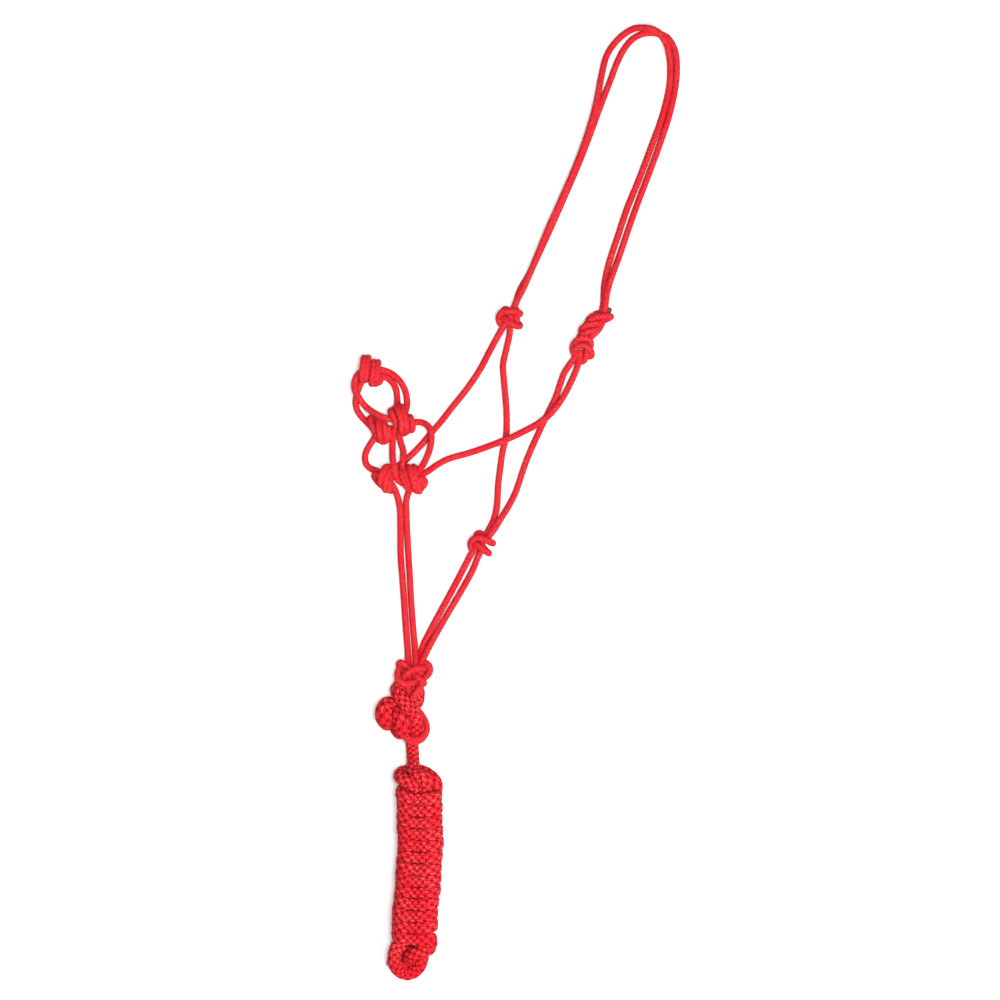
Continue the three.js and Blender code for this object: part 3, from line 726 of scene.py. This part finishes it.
TIE_STRANDS = [
    [(90, 192, 9), (92.8, 198.4, 6), (90, 200.8, 6.4), (85.6, 199.8, 8.6), (80.4, 196.8, 10),
     (78, 192.4, 8.4), (82, 190.4, 4.6), (91, 193, 3.8), (99, 196, 4.8), (102.2, 197.8, 8.8),
     (99.8, 198.2, 14.2), (93.4, 198.2, 16.8), (86, 197, 17), (80, 193.8, 14.6), (76.4, 190, 10.4),
     (78, 187, 5)],
    [(94.4, 197, 10), (93, 192, 13.6), (90.2, 186, 14.8), (85.8, 180.6, 14.2), (81, 176.4, 12.4),
     (77, 172.6, 9.4)],
    [(91.4, 191, 12.4), (84, 190.2, 16.8), (76, 188, 15.8), (71, 184.6, 11), (72, 182, 5.6),
     (80, 181.6, 3.8), (86.4, 183.6, 4.4), (89, 184.6, 8.8), (86, 184, 14), (79.4, 182, 16.8),
     (72.8, 179.8, 15.4), (69.4, 177.4, 10.6), (71, 175.4, 5.2), (78, 176.2, 3.8)],
]
TIE_LOOP_STRANDS = [
    [(80, 164, 5.4), (81, 168.6, 10), (79.4, 172.4, 14.8), (75.4, 174.8, 17), (70.2, 174.6, 16.8),
     (65.6, 172, 14.6), (62.4, 168, 11.2), (61.8, 162.6, 8), (64, 158, 6), (69.6, 156.4, 4.6),
     (77, 158.4, 3.8)],
    [(63.9, 159.8, 8), (64.6, 164.2, 13.2), (68.4, 166.8, 16.4), (74, 166.9, 17.2), (78.8, 163.6, 16.2),
     (81.6, 159.4, 12.6), (80.8, 156, 7.6), (76, 156.4, 4.2), (70, 160, 3.8)],
    [(75.8, 164, 8), (76, 158.4, 11), (74.6, 153.2, 10), (72, 150.4, 7), (69.8, 153, 4.8), (70.2, 159, 4.6)],
    [(65.6, 168, 8), (70.6, 170.6, 11.4), (76.6, 169.4, 11), (79, 163.6, 7)],
]
FIADOR_STRANDS = [
    [(-117, -176, 4.6), (-121.2, -173, 6), (-122.4, -170, 9.4), (-120.4, -168.4, 12.4),
     (-116.6, -170.4, 13.2), (-113.4, -173, 12), (-109.4, -177.2, 10.8), (-105.2, -181.8, 14),
     (-101, -184.8, 17.2), (-97, -188, 15.4), (-95.8, -190.6, 10), (-98.6, -191.4, 5), (-105, -188, 3.8)],
    [(-95, -176, 4.6), (-92.4, -174.8, 8.4), (-95.4, -174.5, 13.2), (-101, -174.2, 16.6),
     (-107.3, -175.6, 18.3), (-113, -178.8, 17.2), (-117.1, -182.9, 13), (-117, -186.4, 8.4),
     (-112, -186, 4.6), (-106, -182, 3.8)],
    [(-113, -170, 5), (-119, -171.4, 5.6), (-122.4, -175.4, 9), (-124, -181.4, 13.4), (-122.2, -187, 16.4),
     (-117.4, -190.2, 17.6), (-111.6, -190.2, 15.4), (-106.4, -189, 11.6), (-101.4, -187.6, 8),
     (-97, -184, 5)],
    [(-99, -171, 6), (-96.4, -168.6, 9), (-92.8, -169.2, 12.2), (-89.8, -172.6, 14.4), (-89.4, -177, 14.8),
     (-91.6, -181.4, 13), (-95.6, -185, 9.6), (-100, -189, 5.4)],
    [(-120, -177, 5), (-116, -179.6, 7.4), (-108, -180.6, 8.6), (-99.4, -179.6, 8.6), (-95, -177.6, 6)],
]

KNOTS = {
    "left_cheek_knot": ("cheeks", LEFT_CHEEK_STRANDS),
    "throat_knot": ("cheeks", THROAT_STRANDS),
    "tie_hitch": ("cheeks", TIE_STRANDS),
    "tie_loop_knot": ("cheeks", TIE_LOOP_STRANDS),
    "fiador_knot": ("jaw", FIADOR_STRANDS),
    "nose_knot_centre": ("nose_front", NOSE_CENTRE_TAIL + bands()),
    "nose_knot_left": ("nose_sides", NOSE_LEFT_STRANDS),
    "nose_knot_right": ("nose_sides", NOSE_RIGHT_STRANDS),
    "left_side_knot": ("cheeks", SIDE_LEFT_STRANDS),
    "right_side_knot": ("cheeks", SIDE_RIGHT_STRANDS),
}


def add_knot(node, body, strands):
    meshes = [tube_mesh(node, swept(strand, HALTER_CORD), HALTER_CORD) for strand in strands]
    piece = add_object(node + "_turns", joined(node + "_turns", meshes))
    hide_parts(node)
    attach(piece, body)


for node, (body, strands) in KNOTS.items():
    add_knot(node, body, strands)


# The melted ends of the crown, which show beyond the tie.
SEALED_ENDS = {
    "crown_end_a": [(97, 198.6, 5), (99.4, 202.4, 5.2), (101.2, 206.4, 5.4)],
    "crown_end_b": [(83, 199, 4.6), (86.4, 201.8, 5), (90.4, 202.8, 5.4)],
}


def add_sealed_end(node, points):
    piece = add_object(node + "_tip", tube_mesh(node + "_tip", swept(points, SEALED_CORD), SEALED_CORD))
    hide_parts(node)
    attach(piece, "cheeks")


for node, points in SEALED_ENDS.items():
    add_sealed_end(node, points)


# ---------------------------------------------------------------- the lead rope

# A fourth number at a point is how thick the rope is there, as a share of its own thickness.
LEAD_LOOP = [
    (-110.6, -187, 9), (-111.8, -197, 9), (-109.4, -206, 7), (-104, -217, 3.8), (-97.4, -226, 4.8),
    (-93.4, -234, 9), (-93.6, -242, 14, 1.05), (-98.4, -248.2, 17, 1.25), (-105.6, -250.6, 17.4, 1.4),
    (-112.6, -248.6, 16.2, 1.3), (-117.6, -243, 14), (-119.4, -232, 8), (-116.4, -221, 6),
    (-112.8, -213.4, 9.6), (-109, -207, 13.6), (-104.8, -201, 16.2), (-101, -195.4, 15.8),
    (-98.8, -190.8, 12.4), (-98.4, -187, 9)]
LEAD_KNOT = [
    (-109, -252, 6.2, 1.0), (-106.2, -246, 8, 1.06), (-104.6, -239.4, 11.5, 1.22), (-104, -231.5, 15, 1.22),
    (-106, -223.5, 18, 1.1), (-110.8, -216.6, 19.6, 1.08), (-116, -210, 19.6, 1.14),
    (-121.4, -204, 17.4, 1.3), (-123.8, -198, 13, 1.32), (-120.6, -192, 9, 1.16), (-113.6, -189, 7.4, 1.08),
    (-106.6, -190.6, 7.2, 1.06), (-102.6, -196, 7.6, 1.04), (-101.4, -203.6, 7.8, 1.04),
    (-103, -211, 7.4, 1.04), (-109, -217.6, 7, 1.0), (-118, -218.4, 7, 1.0), (-127.4, -213.4, 8.2, 1.16),
    (-134, -212.2, 11.4, 1.34), (-137.4, -216.4, 15.4, 1.48), (-138.2, -222.4, 16.8, 1.54),
    (-137.2, -228.6, 14.6, 1.48), (-134.2, -233.2, 9.8, 1.28), (-130, -231.6, 7.2, 1.12),
    (-127.2, -225.8, 7.2, 1.12), (-124.6, -221.4, 10.6, 1.32), (-121.4, -225, 16, 1.5),
    (-119.2, -231.4, 18.2, 1.58), (-118.8, -238, 16, 1.46), (-121.4, -243.2, 11, 1.2),
    (-125.4, -240, 7.6, 1.0), (-126, -233, 7, 1.0)]

EASE_TIMES = 6          # how often the corners of a rope's path are rounded off
SEARCH_RINGS = 40       # how far ahead the ring that belongs to a route point is looked for


def eased(path):
    """A path with its sharpest corners rounded off, as a thick rope has none."""
    for _ in range(EASE_TIMES):
        path[1:-1] = (path[:-2] + 2 * path[1:-1] + path[2:]) / 4
    return path


def running(path, places):
    """Each place with the first ring of the path that it can be at, so that crossings aren't mixed up."""
    low = 0
    for place in places:
        yield low, place
        near = np.linalg.norm(path[low:low + SEARCH_RINGS] - place, axis=1)
        low += int(np.argmin(near))


def rope_path(points, weave):
    """A rope's path and how thick it is along it."""
    rows = [(*p, 1.0) if len(p) == 3 else p for p in points]
    places = np.array([[x * MM, y * MM, z * MM] for x, y, z, _ in rows])
    path = eased(spline(places, weave.step))
    marks = [int(np.argmin(np.linalg.norm(path[low:] - place, axis=1))) + low
             for low, place in running(path, places)]
    thick = np.interp(np.arange(len(path)), marks, [row[3] for row in rows])
    return path, thick


loop_path, loop_thick = rope_path(LEAD_LOOP, HALTER_CORD)
lead_loop = add_object("lead_loop_cord", tube_mesh("lead_loop_cord", loop_path, HALTER_CORD, loop_thick))
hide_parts("lead_loop")
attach(lead_loop, "jaw")

knot_path, knot_thick = rope_path(LEAD_KNOT, LEAD_ROPE)
lead_knot = add_object("lead_knot_rope", tube_mesh("lead_knot_rope", knot_path, LEAD_ROPE, knot_thick))
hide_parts("lead_knot")
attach(lead_knot, "jaw")


# ---------------------------------------------------------------- the hank

# The rope comes down from its knot round the head of the hank, down its core, round the eye and back up. The
# rest is wound down round that core, and the tail ends in the eye.

# How the middle of the hank bows: heights on the page, and where the middle is at each.
HANK_HEIGHTS = (-455, -430, -406, -380, -357, -330, -300)
HANK_MIDDLES = (-106.2, -104.6, -102.5, -100.5, -99.4, -100.0, -101.6)

CORE_HALF = 6.2             # from the middle of the hank to each of the core's two ropes
CORE_MIDDLE = 18.0          # the core's height over the surface
CORE_POINTS = 7             # route points on each run of the core
DOWN_CORE, UP_CORE = (-325, -440), (-447, -330)

HANK_TURNS = 12
HANK_PITCH = 12.3
TURN_POINTS = 20            # route points on each turn
WRAP_TOP = -305.0
WRAP_HALF_WIDTH, WRAP_RISE = 18.0, 11.8
WRAP_CORNERS = 0.72         # how round a turn is, seen along the hank; 1 is an ellipse and 0 a box
WRAP_THICKNESS = 1.05
# How far a turn has come down at each part of the way round: it dips across the front.
WRAP_PARTS = (0, 0.1, 0.17, 0.25, 0.33, 0.42, 0.5, 0.75, 1)
WRAP_FALLS = (0, 3.2, 5.2, 6.2, 6.0, 4.9, 3.8, 7.8, HANK_PITCH)
# The hollow down the front, where the turns sink in and are drawn thin.
HOLLOW_AT, HOLLOW_WIDTH = -3, 8
HOLLOW_SAG, HOLLOW_SLIM = 1.6, 0.16
# How unevenly the turns lie: sideways by so much, and by a share of that up and down.
UNEVEN, UNEVEN_RISE = 0.5, 0.4
UNEVEN_BY_TURN, UNEVEN_ROUND = 1.7, 2.0      # radians of its wave for each turn, and round one turn

# Where the turns are pressed square against each other: metres along Y, and how much they are at each.
PRESSED_PLACES = (-0.474, -0.462, -0.305, -0.297)
PRESSED_AMOUNTS = (0.0, 1.0, 1.0, 0.0)
HANK_DIRECTION = (0.037, 0.9993, 0.0)       # along the hank's core

HANK_HEAD = [
    (-109, -250, 6.4, 1.06), (-108.3, -258, 6.6, 1.08), (-107.7, -268, 10, 1.07),
    (-107.1, -277, 17.5, 1.06), (-106.5, -283.5, 23), (-102, -286.2, 26.2, 1.16),
    (-96.2, -288.8, 27.4, 1.26), (-92.6, -293, 26.6, 1.26), (-93.4, -298.2, 24, 1.12), (-94, -304, 20),
    (-94.6, -312, 18)]
HANK_CORE_END = [
    (-100.4, -455, 17), (-99, -465, 12.4), (-97.8, -474, 8, 1.06), (-98, -483.3, 6.8, 1.1),
    (-100, -489.6, 6.8, 1.1), (-105.4, -495.6, 6.8, 1.12), (-113, -498.6, 7, 1.14), (-120.6, -496, 9, 1.14),
    (-125.8, -489.4, 14, 1.14), (-127.4, -480, 17, 1.14), (-125.2, -470.6, 17.4, 1.14),
    (-118.8, -462, 18, 1.06)]
HANK_TOP = [
    (-107.4, -318, 18), (-104.6, -309, 19.4), (-102.4, -302.8, 22.8), (-105.6, -297.8, 25.6),
    (-112, -293.6, 26.4, 1.1), (-118, -290.6, 24.6, 1.16), (-121.6, -287.4, 18.6, 1.1),
    (-119.6, -284.4, 12.4), (-113.6, -283.4, 8), (-106, -283, 6.4), (-98, -283.6, 8), (-91, -286.4, 12.6),
    (-84.6, -291.4, 17.6), (-82.4, -296.6, 18.4, 1.08), (-82.6, -301, 13.6, 1.04),
    (-86.4, -303.6, 8.2, 1.0), (-93, -303.8, 6.3), (-102, -303.8, 6.3), (-112, -304.2, 6.6)]
HANK_TAIL = [
    (-88, -460.6, 24, 1.1), (-89, -465.2, 22.8, 1.16), (-93, -469.8, 22, 1.22), (-99.6, -473, 21.6, 1.26),
    (-106, -475.6, 19.6, 1.24), (-110.8, -479, 14.6, 1.14), (-112.6, -483, 9.4, 1.05),
    (-115, -486.4, 6.6, 1.0), (-119.8, -487.6, 5.6, 0.9), (-125, -487.6, 4.6, 0.72),
    (-129.6, -487.8, 3.6, 0.5), (-133.4, -488, 3.2, 0.42)]
# The rope's inner turn, which lies in the shade inside the eye, and its end.
INNER_TURN = [
    (-101, -461, 9, 0.78), (-108.6, -465.4, 5.4, 0.78), (-114.4, -471, 5.2, 0.78), (-116.4, -478, 5.2, 0.78),
    (-113, -484.6, 5.2, 0.78), (-106.4, -488, 5.4, 0.78)]
TIP_POINTS = [(-131, -487.4, 3.2), (-135.4, -488, 3.2)]


def axis_x(y):
    """Where the middle of the hank lies at a height y on the page."""
    return float(np.interp(y, HANK_HEIGHTS, HANK_MIDDLES))


def core_run(heights, across):
    """Points down or up the core between two heights on the page."""
    return [(axis_x(y) + across, y, CORE_MIDDLE) for y in np.linspace(*heights, CORE_POINTS)]


def squarish(value):
    """A sine or cosine drawn out towards its extremes, for a turn with squarer corners than an ellipse's."""
    return math.copysign(abs(value) ** WRAP_CORNERS, value)


def wrap_points():
    """The turns, each starting at the hank's left edge, dipping across the front and returning behind."""
    points = []
    for k in range(HANK_TURNS * TURN_POINTS + TURN_POINTS // 2 - 1):
        part, turn = k / TURN_POINTS % 1, k // TURN_POINTS
        angle = math.pi * (1 - 2 * part)
        across = WRAP_HALF_WIDTH * squarish(math.cos(angle))
        up = WRAP_RISE * squarish(math.sin(angle))
        y = WRAP_TOP - HANK_PITCH * turn - float(np.interp(part, WRAP_PARTS, WRAP_FALLS))
        uneven = UNEVEN * math.sin(UNEVEN_BY_TURN * turn + UNEVEN_ROUND * part)
        in_front = math.sin(angle) > 0
        hollow = math.exp(-((across - HOLLOW_AT) / HOLLOW_WIDTH) ** 2) if in_front else 0.0
        height = CORE_MIDDLE + up - HOLLOW_SAG * hollow
        thickness = WRAP_THICKNESS - HOLLOW_SLIM * hollow
        points.append((axis_x(y) + across + uneven, y + UNEVEN_RISE * uneven, height, thickness))
    return points


hank_points = (HANK_HEAD + core_run(DOWN_CORE, CORE_HALF) + HANK_CORE_END + core_run(UP_CORE, -CORE_HALF)
               + HANK_TOP + wrap_points() + HANK_TAIL)
hank_path, hank_thick = rope_path(hank_points, LEAD_ROPE)
wound = np.interp(hank_path[:, 1], PRESSED_PLACES, PRESSED_AMOUNTS)
hank_mesh = tube_mesh("lead_hank_rope", hank_path, LEAD_ROPE, hank_thick, pressed=(HANK_DIRECTION, wound))
hank = add_object("lead_hank_rope", hank_mesh)
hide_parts("lead_neck", "hank_hitch", "hank_wraps", "hank_eye")
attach(hank, "lead")

inner_path, inner_thick = rope_path(INNER_TURN, LEAD_ROPE)
inner = add_object("hank_inner_turn", tube_mesh("hank_inner_turn", inner_path, LEAD_ROPE, inner_thick))
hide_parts("hank_eye")
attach(inner, "lead")

tip = add_object("lead_end_tip", tube_mesh("lead_end_tip", swept(TIP_POINTS, SEALED_TIP), SEALED_TIP))
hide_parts("lead_end")
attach(tip, "lead")


# ---------------------------------------------------------------- floor and light

FLOOR_HALF = 6.0            # metres from the middle of the floor to its edges
PAPER = ((0.74, 0.74, 0.74, 1), (0.77, 0.77, 0.77, 1))
SKY_STRENGTH = 0.14


def make_floor():
    r = FLOOR_HALF
    mesh = bpy.data.meshes.new("floor")
    mesh.from_pydata([(-r, -r, 0), (r, -r, 0), (r, r, 0), (-r, r, 0)], [], [(0, 1, 2, 3)])
    nodes = Nodes("floor_paper")
    nodes.plug(nodes.mix(nodes.noise(60.0, 4.0), *PAPER), nodes.shader.inputs["Base Color"])
    nodes.shader.inputs["Roughness"].default_value = 0.9
    nodes.shader.inputs["Specular IOR Level"].default_value = 0.1
    mesh.materials.append(nodes.material)
    add_object("floor", mesh)


def area_light(name, location, size, power):
    """A round light at a place in metres, aimed at the origin. Power is in watts."""
    data = bpy.data.lights.new(name, "AREA")
    data.shape = "DISK"
    data.size = size
    data.energy = power
    light = bpy.data.objects.new(name, data)
    light.location = location
    light.rotation_mode = "QUATERNION"
    light.rotation_quaternion = (-Vector(location)).to_track_quat("-Z", "Y")
    bpy.context.scene.collection.objects.link(light)


def make_world():
    world = bpy.data.worlds.new("studio")
    bpy.context.scene.world = world
    world.use_nodes = True
    background = world.node_tree.nodes["Background"]
    background.inputs["Color"].default_value = (1, 1, 1, 1)
    background.inputs["Strength"].default_value = SKY_STRENGTH


make_floor()
make_world()
area_light("overhead", (0.1, 0.0, 2.6), size=1.2, power=90.0)
area_light("key", (1.3, -1.4, 2.0), size=1.0, power=74.0)
bpy.context.scene.view_settings.view_transform = "Standard"
